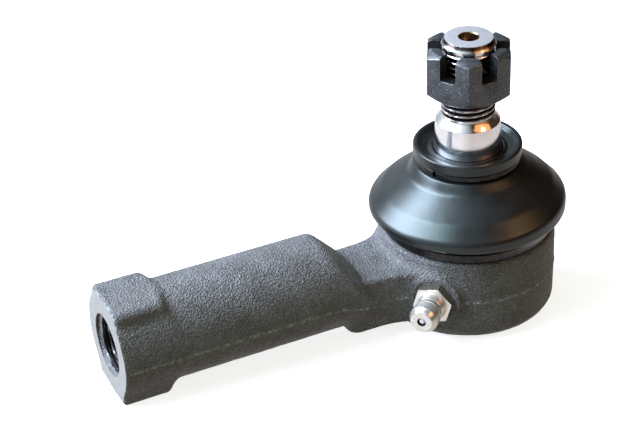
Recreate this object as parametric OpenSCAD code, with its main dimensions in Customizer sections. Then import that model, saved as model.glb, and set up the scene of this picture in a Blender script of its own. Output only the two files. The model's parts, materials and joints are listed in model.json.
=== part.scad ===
// Tie rod end: a forged socket with a threaded shank, and a ball stud that swings in it.
// Origin: centre of the wrench end's face, on the shank's axis. +X runs along the shank
// to the socket and +Z runs up the stud. All sizes in millimetres.

/* [Shank] */
// Distance from the wrench end's face to the stud's axis
stud_x = 86.5; // [84:0.5:100]
// Radius of the round barrel
barrel_r = 11; // [10.7:0.1:11.2]
// Distance between the wrench end's top and bottom flats
wrench_af = 23; // [22:0.1:24]
// Length of the wrench end's flats
wrench_len = 10.4; // [8:0.1:12]
// Minor radius of the shank's M14 x 1.5 thread
shank_thread_r = 6.19; // [6:0.01:6.4]
// Depth of the shank's thread
shank_thread_len = 40; // [30:1:44]

/* [Socket] */
// Radius of the socket can at its widest
can_r = 19.75; // [19.3:0.05:20.2]
// Height of the can's top face above the shank's axis
can_top_z = 5.1; // [4.8:0.1:5.4]
// Height of the can's bottom edge
can_bottom_z = -14.6; // [-14.8:0.1:-14.2]
// Width of the neck between the barrel and the can
neck_w = 16.2; // [15:0.1:18]

/* [Ball stud] */
// Radius of the ball
ball_r = 9.5; // [9.3:0.1:9.6]
// Height of the ball's centre
ball_z = -1.6; // [-1.8:0.1:-1.5]
// Height of the stud's end face
stud_top_z = 50.4; // [49.5:0.1:52]
// Outer radius of the stud's M12 x 1.25 thread
stud_thread_r = 5.94; // [5.85:0.01:6]
// Radius of the taper at its small end
taper_small_r = 7.1; // [6.9:0.05:7.2]
// Radius of the taper at its large end
taper_large_r = 7.7; // [7.5:0.05:7.7]

/* [Castle nut] */
// Width across the nut's flats
nut_af = 17.7; // [17.6:0.1:18.2]
// Height of the nut
nut_h = 11.45; // [11.2:0.05:12]
// Width of each cotter slot
slot_w = 3.7; // [3.2:0.1:4]
// Depth of each cotter slot
slot_depth = 5.4; // [4:0.1:5.8]

/* [Dust boot] */
// Largest radius of the boot
boot_r = 22; // [21.5:0.1:22.5]
// Height of the boot's top lip
boot_lip_z = 25.1; // [24.9:0.1:25.3]
// Radius of the boot's top lip
boot_lip_r = 12; // [11.7:0.1:12.2]

/* [Grease fitting] */
// Direction of the fitting about the stud's axis, in degrees
fitting_angle = -139; // [-145:1:-130]
// Distance across the fitting's hexagon
fitting_af = 8; // [7:0.5:8.5]

/* [Hidden] */
$fn = 64;
hull_fn = 32;
eps = 0.01;

// Shank
wrench_top_half = 6.9;      // half-width of the top and bottom flats
wrench_mid_half = 10.9;     // half-width at the parting line
wrench_blend = 2.4;         // length of the blend down to the barrel
wrench_edge = 0.5;          // broken edge round the wrench end's face
barrel_end_x = 49;          // where the barrel's top starts to slope down
slope_end_x = 58.2;         // where the slope meets the neck
slope_crown_r = 27;         // the slope is slightly crowned across
bore_mouth_r = 7.15;
bore_chamfer = 0.95;
drill_r = 6.0;
drill_len = 4;

// Neck and can
neck_top_z = 1.65;
neck_bottom_z = -10.6;
neck_blend_x = 51;          // where the barrel's underside starts to turn into the neck
neck_start_x = 55.4;
web_r = 8;                  // plan radius where the neck runs into the can
can_corner_r = 3.4;         // rounding of the can's lower edge
can_part_z = -4.5;          // height of the forging's parting line
spigot_r = 16.4;            // ring on the can's top that the boot sits on
spigot_top_z = 8.2;
cavity_r = 15;
roof_z = 2.2;               // underside of the can's roof
throat_r = 9.9;
throat_top_r = 13;
cover_r = 15.6;
cover_h = 1.3;
cover_lip_h = 1.0;          // swaged lip that holds the cover
cover_lip_r = 14.2;
cover_z = can_bottom_z + cover_lip_h;

// Bearing
seat_clearance = 0.05;      // running clearance between the ball and each seat
seat_r = cavity_r - 0.05;
seat_gap = 0.3;             // half the gap between the two seats
ball_flat = 8.3;            // distance from the ball's centre to its bottom flat
lower_seat_bottom_z = -10.4;
spring_r = 12.5;
spring_hole_r = 6;
spring_t = 0.7;
spring_bottom_z = cover_z + cover_h + 0.02;
spring_top_z = lower_seat_bottom_z - 0.02;

// Stud
neck_r = 5.2;
neck_top = 14;
collar_bottom_z = 17.2;
taper_bottom_z = 22.6;
taper_top_z = 30.8;
cone_top_z = 32.1;
stud_flat_r = 5.2;
stud_chamfer = 1.2;
centre_hole_r = 2.1;
centre_hole_depth = 2.6;
cotter_r = 1.6;
cotter_z = 45.6;

// Nut
nut_bottom_z = 37.15;
nut_bore_r = stud_thread_r + 0.06;
nut_face_r = 8.3;
nut_seat_r = 7.7;           // radius of the nut's lower face
nut_seat_chamfer = 2.2;
nut_mouth_r = 6.7;
nut_chamfer = 1.35;

// Boot and its rings
boot_clearance = 0.05;
boot_bulge_z = 10.8;
boot_base_r = 18.7;
boot_base_z = can_top_z + 0.05;
neck_ring_z = 21.15;
neck_ring_h = 1.35;
neck_ring_out_r = 11.65;
neck_ring_in_r = 10.45;
neck_ring_gap_angle = -158;
neck_ring_gap = 0.9;
base_ring_z = 5.5;
base_ring_h = 1.9;
base_ring_t = 0.55;

// Grease fitting, along its own axis from the stud's axis outwards
boss_face = 20.8;
boss_r = 5.8;
fitting_z = -4.1;
fitting_hex_t = 2;
fitting_tip = 29.5;
fitting_shank_r = 2.8;
fitting_shank_start = 15.8;
head_r = 3.2;
throat_bore_r = 1.3;
throat_end = fitting_tip - 0.6;
check_r = 1.15;
check_seat_r = 0.95;        // hole in the tip, smaller than the check ball
check_at = fitting_tip - 1.3;
check_spring_r = 0.85;
check_spring_end = check_at - 1.04;
washer_at = 21.5;
washer_t = 0.5;

// Turns a shape made along +Z so that it lies along the fitting's axis
module along_fitting(from) {
    translate([stud_x, 0, fitting_z])
        rotate([0, 0, fitting_angle])
            translate([from, 0, 0])
                rotate([0, 90, 0])
                    children();
}

// Turns a shape made along +Z so that it lies along the shank
module along_shank(from) {
    translate([from, 0, 0]) rotate([0, 90, 0]) children();
}

// Outline of the wrench end, drawn with the shank's up direction on -X
module wrench_outline() {
    flat = wrench_af / 2;
    polygon([
        [-flat, -wrench_top_half], [-flat, wrench_top_half], [0, wrench_mid_half],
        [flat, wrench_top_half], [flat, -wrench_top_half], [0, -wrench_mid_half]
    ]);
}

module wrench_end() {
    hull() {
        along_shank(0) linear_extrude(eps) offset(delta = -wrench_edge) wrench_outline();
        along_shank(wrench_edge) linear_extrude(wrench_len - wrench_edge) wrench_outline();
    }
    hull() {
        along_shank(wrench_len - eps) linear_extrude(eps) wrench_outline();
        along_shank(wrench_len + wrench_blend) cylinder(r = barrel_r, h = eps, $fn = hull_fn);
    }
}

// Round barrel whose top slopes down to the neck
module barrel() {
    slope_h = barrel_r - neck_top_z;
    slope_len = slope_end_x - barrel_end_x;
    difference() {
        along_shank(wrench_len) cylinder(r = barrel_r, h = slope_end_x - wrench_len);
        translate([barrel_end_x, 0, barrel_r])
            rotate([0, atan2(slope_h, slope_len), 0])
                difference() {
                    translate([-barrel_r, -2 * barrel_r, -4])
                        cube([5 * barrel_r, 4 * barrel_r, 3 * barrel_r]);
                    translate([-3 * barrel_r, 0, -slope_crown_r])
                        rotate([0, 90, 0])
                            cylinder(r = slope_crown_r, h = 9 * barrel_r, $fn = 180);
                }
    }
}

// Neck, the plan blends where it meets the can, and its change from round to square
module neck() {
    neck_h = neck_top_z - neck_bottom_z;
    hull() {
        translate([neck_start_x, -neck_w / 2, neck_bottom_z]) cube([eps, neck_w, neck_h]);
        intersection() {
            along_shank(neck_blend_x) cylinder(r = barrel_r, h = eps, $fn = hull_fn);
            translate([neck_blend_x - 1, -barrel_r, -barrel_r])
                cube([2, 2 * barrel_r, barrel_r + neck_top_z]);
        }
    }
    translate([0, 0, neck_bottom_z])
        linear_extrude(neck_h)
            offset(r = -web_r, $fn = hull_fn)
                offset(delta = web_r) {
                    translate([neck_start_x, -neck_w / 2])
                        square([stud_x - neck_start_x, neck_w]);
                    translate([stud_x, 0]) circle(r = can_r - 0.9);
                }
}

module can_body() {
    translate([stud_x, 0, 0])
        rotate_extrude()
            polygon([
                [0, can_bottom_z],
                for (a = [-90:15:0])
                    [can_r - can_corner_r * (1 - cos(a)), can_bottom_z + can_corner_r * (1 + sin(a))],
                [can_r, can_part_z], [can_r - 0.1, can_top_z - 1], [can_r - 1, can_top_z],
                [spigot_r, can_top_z], [spigot_r, spigot_top_z], [0, spigot_top_z]
            ]);
}

module can_cavity() {
    translate([stud_x, 0, 0]) {
        translate([0, 0, can_bottom_z - 1]) cylinder(r = cover_lip_r, h = cover_lip_h + 2);
        translate([0, 0, cover_z]) cylinder(r = cover_r, h = cover_h);
        translate([0, 0, cover_z]) cylinder(r = cavity_r, h = roof_z - cover_z);
        rotate_extrude()
            polygon([
                [0, roof_z - 1], [throat_r, roof_z - 1], [throat_r, roof_z],
                [throat_top_r, spigot_top_z], [throat_top_r, spigot_top_z + 1],
                [0, spigot_top_z + 1]
            ]);
    }
}

module shank_bore() {
    along_shank(-eps) cylinder(r1 = bore_mouth_r, r2 = shank_thread_r, h = bore_chamfer);
    along_shank(-eps) cylinder(r = shank_thread_r, h = shank_thread_len);
    along_shank(shank_thread_len - 2 * eps) cylinder(r1 = drill_r, r2 = 0.5, h = drill_len);
}

module housing() {
    color("#4b4c4e")
        difference() {
            union() {
                wrench_end();
                barrel();
                neck();
                can_body();
                along_fitting(can_r - 8) cylinder(r = boss_r, h = boss_face - can_r + 8);
            }
            shank_bore();
            can_cavity();
            along_fitting(cavity_r - 3) cylinder(r = fitting_shank_r + 0.02, h = 12);
        }
}

module upper_seat() {
    color("ivory")
        translate([stud_x, 0, 0])
            difference() {
                translate([0, 0, ball_z + seat_gap])
                    cylinder(r = seat_r, h = roof_z - ball_z - seat_gap - 0.02);
                translate([0, 0, ball_z]) sphere(r = ball_r + seat_clearance);
            }
}

module lower_seat() {
    color("ivory")
        translate([stud_x, 0, 0])
            difference() {
                translate([0, 0, lower_seat_bottom_z])
                    cylinder(r = seat_r, h = ball_z - seat_gap - lower_seat_bottom_z);
                translate([0, 0, ball_z]) sphere(r = ball_r + seat_clearance);
                translate([0, 0, lower_seat_bottom_z - 1]) cylinder(r = spring_hole_r, h = 4);
            }
}

module preload_spring() {
    color("silver")
        translate([stud_x, 0, 0])
            rotate_extrude()
                polygon([
                    [spring_hole_r, spring_top_z - spring_t], [spring_hole_r, spring_top_z],
                    [spring_r, spring_bottom_z + spring_t], [spring_r, spring_bottom_z]
                ]);
}

module end_cover() {
    color("#5a5b5d")
        translate([stud_x, 0, cover_z + 0.01])
            cylinder(r = cover_r - 0.02, h = cover_h - 0.02);
}

module ball_stud() {
    color("#c9cbd0")
        translate([stud_x, 0, 0])
            difference() {
                union() {
                    translate([0, 0, ball_z]) sphere(r = ball_r);
                    rotate_extrude()
                        polygon([
                            [0, ball_z], [neck_r, ball_z], [neck_r, neck_top],
                            [taper_large_r, collar_bottom_z], [taper_large_r, taper_bottom_z],
                            [taper_small_r, taper_top_z], [stud_thread_r, cone_top_z],
                            [stud_thread_r, stud_top_z - stud_chamfer],
                            [stud_flat_r, stud_top_z], [0, stud_top_z]
                        ]);
                }
                translate([0, 0, ball_z - ball_flat - 5])
                    cylinder(r = ball_r, h = 5);
                translate([0, 0, stud_top_z - centre_hole_depth])
                    cylinder(r = centre_hole_r, h = centre_hole_depth + 1);
                translate([0, 10, cotter_z]) rotate([90, 0, 0]) cylinder(r = cotter_r, h = 20);
            }
}

// Hexagon whose top and bottom corners are cut by a cone
module chamfered_hexagon() {
    corner_r = nut_af / 2 / cos(30);
    intersection() {
        cylinder(r = corner_r, h = nut_h, $fn = 6);
        rotate_extrude()
            polygon([
                [0, 0], [nut_seat_r, 0], [corner_r + 0.3, nut_seat_chamfer],
                [corner_r + 0.3, nut_h - nut_chamfer], [nut_face_r, nut_h], [0, nut_h]
            ]);
    }
}

module castle_nut() {
    color("#3c3d3f")
        translate([stud_x, 0, nut_bottom_z])
            difference() {
                chamfered_hexagon();
                translate([0, 0, -1]) cylinder(r = nut_bore_r, h = nut_h + 2);
                translate([0, 0, -eps]) cylinder(r1 = nut_mouth_r, r2 = nut_bore_r, h = 0.7);
                for (angle = [30, 90, 150])
                    rotate([0, 0, angle])
                        translate([-nut_af, -slot_w / 2, nut_h - slot_depth])
                            cube([2 * nut_af, slot_w, slot_depth + 1]);
            }
}

// Section of the boot: a bead on the can, a rounded bulge, a cone, a groove and the top lip
module boot_section() {
    in_r = taper_large_r + boot_clearance;
    bead_in = spigot_r + 0.02;
    polygon([
        [bead_in, boot_base_z], [boot_base_r, boot_base_z], [boot_base_r, 8],
        [boot_r - 1.4, 8.9], [boot_r - 0.3, 9.7], [boot_r, boot_bulge_z],
        [boot_r - 0.3, 12], [boot_r - 1.4, 13.4], [17.6, 16.1], [13.6, 18.7],
        [11.6, 20.5], [neck_ring_in_r - 0.05, neck_ring_z - 0.05],
        [neck_ring_in_r - 0.05, neck_ring_z + neck_ring_h + 0.05],
        [boot_lip_r, neck_ring_z + neck_ring_h + 0.1], [boot_lip_r, boot_lip_z],
        [boot_lip_r - 0.9, boot_lip_z], [boot_lip_r - 1.6, boot_lip_z - 1],
        [in_r + 0.7, boot_lip_z - 1.3], [in_r, boot_lip_z - 1.6],
        [in_r, 19.2], [9.2, 18.4], [12.6, 16.9], [16.8, 14.2], [19.4, 12], [19.4, 10.2],
        [17.6, 8.6], [bead_in, 8.3]
    ]);
}

module dust_boot() {
    color("#1d1e20") translate([stud_x, 0, 0]) rotate_extrude() boot_section();
}

module ring_band(bottom, h, in_r, out_r) {
    translate([stud_x, 0, bottom])
        rotate_extrude() translate([in_r, 0]) square([out_r - in_r, h]);
}

module boot_neck_ring() {
    color("#55575a")
        difference() {
            ring_band(neck_ring_z, neck_ring_h, neck_ring_in_r, neck_ring_out_r);
            translate([stud_x, 0, neck_ring_z - 1])
                rotate([0, 0, neck_ring_gap_angle])
                    translate([0, -neck_ring_gap / 2, 0])
                        cube([2 * neck_ring_out_r, neck_ring_gap, neck_ring_h + 2]);
        }
}

module boot_base_ring() {
    in_r = boot_base_r + 0.02;
    color("#8d9094") ring_band(base_ring_z, base_ring_h, in_r, in_r + base_ring_t);
}

module grease_fitting() {
    hex_end = boss_face + fitting_hex_t;
    color("#d8d6cc")
        difference() {
            union() {
                along_fitting(fitting_shank_start)
                    cylinder(r = fitting_shank_r, h = boss_face - fitting_shank_start + 0.1);
                along_fitting(boss_face + 0.01)
                    rotate([0, 0, 30]) cylinder(r = fitting_af / 2 / cos(30), h = fitting_hex_t, $fn = 6);
                translate([stud_x, 0, fitting_z])
                    rotate([0, 0, fitting_angle])
                        rotate([0, 90, 0])
                            rotate_extrude()
                                polygon([
                                    [0, hex_end - 0.1], [3.3, hex_end - 0.1], [3.3, hex_end],
                                    [2.35, hex_end + 2], [2.35, hex_end + 2.8],
                                    [head_r, hex_end + 3.7], [head_r, fitting_tip - 1.1],
                                    [2.4, fitting_tip], [0, fitting_tip]
                                ]);
            }
            along_fitting(fitting_shank_start - 1)
                cylinder(r = throat_bore_r, h = throat_end - fitting_shank_start + 1);
            along_fitting(throat_end - 0.4) cylinder(r = check_seat_r, h = 2);
        }
}

module check_ball() {
    color("silver") along_fitting(check_at) sphere(r = check_r);
}

// Plain sleeve that stands for the coiled wire of the check ball's spring
module check_spring() {
    start = washer_at + washer_t + 0.02;
    spring_len = check_spring_end - start;
    color("silver")
        along_fitting(start)
            difference() {
                cylinder(r = check_spring_r, h = spring_len);
                translate([0, 0, -1]) cylinder(r = check_spring_r - 0.3, h = spring_len + 2);
            }
}

module spring_washer() {
    color("silver")
        along_fitting(washer_at)
            difference() {
                cylinder(r = throat_bore_r - 0.01, h = washer_t);
                translate([0, 0, -1]) cylinder(r = 0.5, h = washer_t + 2);
            }
}

housing();
upper_seat();
lower_seat();
preload_spring();
end_cover();
ball_stud();
castle_nut();
dust_boot();
boot_neck_ring();
boot_base_ring();
grease_fitting();
check_ball();
check_spring();
spring_washer();
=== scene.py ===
"""Looks of the tie rod end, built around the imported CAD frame.

Shapes are worked out in millimetres in the row frame (origin at the wrench end's face, +X along
the shank, +Z up the stud) and turned into metres when each mesh is made.
"""
import json
from math import atan2, cos, hypot, pi, radians, sin, tan

import bmesh
import bpy
import numpy as np
from mathutils import Matrix, Vector, noise


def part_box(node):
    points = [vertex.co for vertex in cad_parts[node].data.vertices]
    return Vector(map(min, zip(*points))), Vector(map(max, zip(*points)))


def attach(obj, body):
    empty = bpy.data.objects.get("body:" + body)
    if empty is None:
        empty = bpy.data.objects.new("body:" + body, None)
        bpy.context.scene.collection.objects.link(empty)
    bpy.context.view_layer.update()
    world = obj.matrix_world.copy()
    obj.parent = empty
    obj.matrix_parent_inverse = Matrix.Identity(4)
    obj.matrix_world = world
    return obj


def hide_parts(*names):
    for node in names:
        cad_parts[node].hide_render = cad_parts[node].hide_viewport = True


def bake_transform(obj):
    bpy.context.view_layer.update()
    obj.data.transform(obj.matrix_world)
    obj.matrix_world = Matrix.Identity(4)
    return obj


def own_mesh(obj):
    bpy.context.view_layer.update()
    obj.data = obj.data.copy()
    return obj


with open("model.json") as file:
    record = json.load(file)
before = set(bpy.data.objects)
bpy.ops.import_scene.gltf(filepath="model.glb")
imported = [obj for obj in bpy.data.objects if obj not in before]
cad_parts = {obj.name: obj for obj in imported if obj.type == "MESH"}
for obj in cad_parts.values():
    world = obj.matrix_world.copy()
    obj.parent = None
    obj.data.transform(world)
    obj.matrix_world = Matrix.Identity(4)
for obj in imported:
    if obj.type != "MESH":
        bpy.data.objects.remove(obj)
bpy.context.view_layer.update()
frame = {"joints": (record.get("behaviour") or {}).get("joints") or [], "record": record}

MM = 0.001
LATHE_STEPS = 128  # facets round a turned piece


# ---- sizes read from the frame

def box_mm(node):
    """Lowest and highest corner of a CAD node, in millimetres."""
    low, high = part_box(node)
    return np.array(low) / MM, np.array(high) / MM


HOUSING_LOW, HOUSING_HIGH = box_mm("housing")
STUD_LOW, STUD_HIGH = box_mm("ball_stud")
NUT_LOW, NUT_HIGH = box_mm("castle_nut")
BOOT_LOW, BOOT_HIGH = box_mm("dust_boot")
NECK_RING_LOW, NECK_RING_HIGH = box_mm("boot_neck_ring")
BASE_RING_LOW, BASE_RING_HIGH = box_mm("boot_base_ring")
COVER_LOW, COVER_HIGH = box_mm("end_cover")
UPPER_SEAT_LOW, UPPER_SEAT_HIGH = box_mm("upper_seat")
LOWER_SEAT_LOW, LOWER_SEAT_HIGH = box_mm("lower_seat")
SPRING_LOW, SPRING_HIGH = box_mm("preload_spring")

JOINTS = {joint["name"]: joint for joint in frame["joints"]}
MOUNTS = {mount["name"]: mount for mount in frame["record"]["mounts"]}

STUD_X = JOINTS["stud_swing"]["pos_m"][0] / MM
BALL_Z = JOINTS["stud_swing"]["pos_m"][2] / MM
BALL_R = (STUD_HIGH[0] - STUD_LOW[0]) / 2
CAN_R = HOUSING_HIGH[0] - STUD_X
CAN_BOTTOM = HOUSING_LOW[2]
CAN_TOP = BOOT_LOW[2] - 0.05
SPIGOT_TOP = CAN_TOP + 3.1  # of the ring inside the boot
FLAT_Z = MOUNTS["wrench_flat_top"]["pos_m"][2] / MM
BARREL_R = FLAT_Z - 0.5
THREAD_MINOR = MOUNTS["shank_thread"]["dims"]["r_mm"]
FITTING_AXIS = -np.array(JOINTS["check_ball_lift"]["axis"])
FITTING_ANGLE = atan2(FITTING_AXIS[1], FITTING_AXIS[0])
FITTING_Z = MOUNTS["grease_nipple"]["pos_m"][2] / MM


# ---- mesh helpers

def make_object(name, points, faces, smooth_angle=35):
    """Mesh object from points in millimetres and lists of their numbers, all faces outwards."""
    mesh = bpy.data.meshes.new(name)
    mesh.from_pydata((np.asarray(points, float) * MM).tolist(), [], [list(f) for f in faces])
    mesh.validate()
    work = bmesh.new()
    work.from_mesh(mesh)
    bmesh.ops.recalc_face_normals(work, faces=work.faces)
    work.to_mesh(mesh)
    work.free()
    obj = add_object(name, mesh)
    shade(obj, smooth_angle)
    return obj


def add_object(name, data):
    obj = bpy.data.objects.new(name, data)
    bpy.context.scene.collection.objects.link(obj)
    return obj


def shade(obj, angle):
    """Smooth shading, with edges sharper than angle kept crisp."""
    mesh = obj.data
    mesh.polygons.foreach_set("use_smooth", [True] * len(mesh.polygons))
    mesh.set_sharp_from_angle(angle=radians(angle))
    mesh.update()


def rounded(corners, steps=5):
    """Outline whose corners (r, z, radius) become arcs; radius 0 keeps the corner."""
    out = []
    count = len(corners)
    for i, (r, z, radius) in enumerate(corners):
        here = np.array([r, z], float)
        if radius <= 0:
            out.append(here)
            continue
        before = np.array(corners[i - 1][:2], float) - here
        after = np.array(corners[(i + 1) % count][:2], float) - here
        u, v = before / np.linalg.norm(before), after / np.linalg.norm(after)
        half = np.arccos(np.clip(u @ v, -1, 1)) / 2
        if half > radians(89):
            out.append(here)
            continue
        reach = min(radius / tan(half), np.linalg.norm(before) * 0.49, np.linalg.norm(after) * 0.49)
        arc_r = reach * tan(half)
        bisector = (u + v) / np.linalg.norm(u + v)
        centre = here + bisector * arc_r / sin(half)
        first, last = here + u * reach - centre, here + v * reach - centre
        turn = np.arctan2(first[0] * last[1] - first[1] * last[0], first @ last)
        for k in range(steps + 1):
            a = turn * k / steps
            out.append(centre + [first[0] * cos(a) - first[1] * sin(a),
                                 first[0] * sin(a) + first[1] * cos(a)])
    return np.array(out)


def lathe_mesh(outline, steps, radius_at=None):
    """Points and faces of an outline (r, z) turned about Z.

    An outline that starts and ends on the axis is open, and any other is closed.
    radius_at(r, z, angles) may change the radius.
    """
    angles = np.arange(steps) * 2 * pi / steps
    outline = np.asarray(outline, float)
    rows, points = [], []
    for r, z in outline:
        if r < 1e-6:
            rows.append([len(points)] * steps)
            points.append((0, 0, z))
            continue
        radii = np.full(steps, r) if radius_at is None else np.ones(steps) * radius_at(r, z, angles)
        rows.append(list(range(len(points), len(points) + steps)))
        points.extend(zip(radii * np.cos(angles), radii * np.sin(angles), [z] * steps))
    faces = []
    pairs = list(zip(rows, rows[1:]))
    if outline[0][0] > 0:
        pairs.append((rows[-1], rows[0]))
    for low, high in pairs:
        for i in range(steps):
            j = (i + 1) % steps
            face = list(dict.fromkeys((low[i], low[j], high[j], high[i])))
            if len(face) > 2:
                faces.append(face)
    return np.array(points), faces


def moved(points, move):
    """Points carried by a 4x4 matrix in millimetres."""
    return points @ np.array(move.to_3x3()).T + np.array(move.translation)


def lathe(name, outline, steps=LATHE_STEPS, radius_at=None, move=None, angle=35):
    """Turned object; move is a 4x4 matrix in millimetres, by default up the stud's axis."""
    points, faces = lathe_mesh(outline, steps, radius_at)
    move = Matrix.Translation((STUD_X, 0, 0)) if move is None else move
    return make_object(name, moved(points, move), faces, angle)


def prism(name, outline, low, high, move):
    """Straight prism of an (x, y) outline from z = low to z = high."""
    outline = np.asarray(outline, float)
    count = len(outline)
    points = np.vstack([np.c_[outline, np.full(count, low)], np.c_[outline, np.full(count, high)]])
    return swept(name, moved(points, move), count)


def swept(name, points, count):
    """Closed sweep: points are rings of count points each, one after another."""
    rings = len(points) // count
    faces = [list(range(count))[::-1], list(range((rings - 1) * count, rings * count))]
    for a in range(rings - 1):
        for b in range(count):
            c = (b + 1) % count
            faces.append([a * count + b, a * count + c, (a + 1) * count + c, (a + 1) * count + b])
    return make_object(name, points, faces)


def polygon(sides, radius, start=0.0):
    """Regular polygon's corners."""
    turn = start + np.arange(sides) * 2 * pi / sides
    return np.c_[radius * np.cos(turn), radius * np.sin(turn)]


def combine(obj, others, operation="DIFFERENCE"):
    """Boolean of closed meshes; the others are used up."""
    for other in others:
        modifier = obj.modifiers.new("boolean", "BOOLEAN")
        modifier.operation = operation
        modifier.solver = "MANIFOLD"
        modifier.object = other
    apply_modifiers(obj)
    for other in others:
        bpy.data.objects.remove(other)
    return obj


def apply_modifiers(obj):
    """Bakes the object's modifiers into its mesh."""
    bpy.context.view_layer.update()
    graph = bpy.context.evaluated_depsgraph_get()
    mesh = bpy.data.meshes.new_from_object(obj.evaluated_get(graph))
    old = obj.data
    obj.modifiers.clear()
    obj.data = mesh
    bpy.data.meshes.remove(old)


def along_shank():
    """Takes +Z to +X, along the shank."""
    return Matrix.Rotation(pi / 2, 4, "Y")


def along_fitting(at=0.0):
    """Takes +Z to the grease fitting's axis, at a distance from the stud's axis."""
    return (Matrix.Translation((STUD_X, 0, FITTING_Z)) @ Matrix.Rotation(FITTING_ANGLE, 4, "Z")
            @ Matrix.Translation((at, 0, 0)) @ Matrix.Rotation(pi / 2, 4, "Y"))


# ---- forging as a distance field

def smooth_min(a, b, k):
    h = np.clip(0.5 + 0.5 * (b - a) / k, 0, 1)
    return b + (a - b) * h - k * h * (1 - h)


def smooth_max(a, b, k):
    return -smooth_min(-a, -b, k)


def smooth_step(low, high, x):
    t = np.clip((x - low) / (high - low), 0, 1)
    return t * t * (3 - 2 * t)


WRENCH_TOP_HALF = 7.05  # half-width of the top and bottom flats, before rounding
WRENCH_MID_HALF = 10.9  # half-width at the parting line
GROOVE_DEPTH = 0.36  # hollow along the side, under the top flat
GROOVE_Z = 8.3
GROOVE_HALF = 1.35
WRENCH_EDGE = 0.5  # broken edge round the wrench end's face
SHOULDER_SLOPE = 0.62  # length along the shank for each mm of radius, behind the flats
SHOULDER_END = 18.9  # where that cone would meet the axis
BARREL_END = 49.0  # where the barrel's top starts to slope down
SLOPE_END = 58.2
SLOPE_CROWN_R = 27.0  # the slope is crowned across
NECK_START = 53.0  # where its square corners come out of the barrel
NECK_HALF = 8.1
NECK_TOP = 1.65
NECK_BOTTOM = -11.0
LOWER_CORNER = 0.4  # corners of the lower half, which are sharper than the upper
CAN_CORNER_R = 2.6  # rounding of the can's lower edge
BOSS_R = 5.8
BOSS_FACE = 20.8
PART_BARREL = -0.9  # height of the forging's parting line on the barrel
PART_CAN = -4.5  # and on the can
SPIGOT_R = 16.4
BLANK_END = 1.2  # what the blank has before x = 0, to be faced off


def parting_height(x):
    """The parting line steps down from the barrel's middle to the neck's middle."""
    return PART_BARREL + (PART_CAN - PART_BARREL) * smooth_step(BARREL_END - 2, SLOPE_END + 4, x)


def wrench_field(x, y, z):
    rise = FLAT_Z
    run = WRENCH_MID_HALF - WRENCH_TOP_HALF
    slant = hypot(rise, run)
    upper = (rise * np.abs(y) + run * z) / slant - rise * WRENCH_MID_HALF / slant
    lower = (rise * np.abs(y) - run * z) / slant - rise * WRENCH_MID_HALF / slant
    sides = smooth_max(upper, lower, 1.2)
    sides += GROOVE_DEPTH * np.exp(-((z - GROOVE_Z) / GROOVE_HALF) ** 2)
    section = smooth_max(np.abs(z) - FLAT_Z, sides, np.where(z > 0, 1.6, LOWER_CORNER))
    shoulder = (x + SHOULDER_SLOPE * np.hypot(y, z) - SHOULDER_END) / hypot(1, SHOULDER_SLOPE)
    edge = (section + WRENCH_EDGE - x) * 0.7071
    return smooth_max(smooth_max(section, shoulder, 1.0), edge, 0.2)


def barrel_field(x, y, z):
    slope = hypot(SLOPE_END - BARREL_END, BARREL_R - NECK_TOP)
    normal_x, normal_z = (BARREL_R - NECK_TOP) / slope, (SLOPE_END - BARREL_END) / slope
    ramp = normal_x * (x - BARREL_END) + normal_z * (z - BARREL_R) + y ** 2 / (2 * SLOPE_CROWN_R)
    body = smooth_max(np.hypot(y, z) - BARREL_R, ramp, 1.1)
    return smooth_max(body, x - SLOPE_END + 1.2, 2.4)


def neck_field(x, y, z):
    """Flat bar that widens in plan where it meets the can."""
    bar = smooth_max(np.abs(y) - NECK_HALF, np.maximum(NECK_START - x, x - STUD_X), 3.0)
    disc = np.hypot(x - STUD_X, y) - (CAN_R - 1.2)
    plan = smooth_min(bar, disc, 9.0)
    middle, half = (NECK_TOP + NECK_BOTTOM) / 2, (NECK_TOP - NECK_BOTTOM) / 2
    return smooth_max(plan, np.abs(z - middle) - half, np.where(z > middle, 1.2, LOWER_CORNER))


def can_field(x, y, z):
    rho = np.hypot(x - STUD_X, y)
    across = rho - CAN_R + CAN_CORNER_R
    below = CAN_BOTTOM + CAN_CORNER_R - z
    corner = np.hypot(np.maximum(across, 0), np.maximum(below, 0)) - CAN_CORNER_R
    wall = corner + np.minimum(np.maximum(across, below), 0)
    wall = smooth_max(wall, z - CAN_TOP, 1.1)
    spigot = np.maximum(rho - SPIGOT_R, z - SPIGOT_TOP)
    return np.minimum(wall, np.maximum(spigot, CAN_BOTTOM + 5 - z))


def boss_field(x, y, z):
    out = (x - STUD_X) * FITTING_AXIS[0] + y * FITTING_AXIS[1]
    side = -(x - STUD_X) * FITTING_AXIS[1] + y * FITTING_AXIS[0]
    round_part = np.hypot(side, z - FITTING_Z) - BOSS_R
    return smooth_max(round_part, np.maximum(out - BOSS_FACE, 6 - out), 0.7)


def forging_field(x, y, z):
    """Signed distance, in mm, to the whole forging before it is machined."""
    body = smooth_min(wrench_field(x, y, z), barrel_field(x, y, z), 1.0)
    body = smooth_min(body, neck_field(x, y, z), 1.1)
    body = smooth_min(body, can_field(x, y, z), 2.4)
    body = smooth_min(body, boss_field(x, y, z), 1.1)
    ridge = np.exp(-((z - parting_height(x)) / 0.36) ** 2)
    return np.maximum(body - 0.13 * ridge, -BLANK_END - x)


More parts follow.
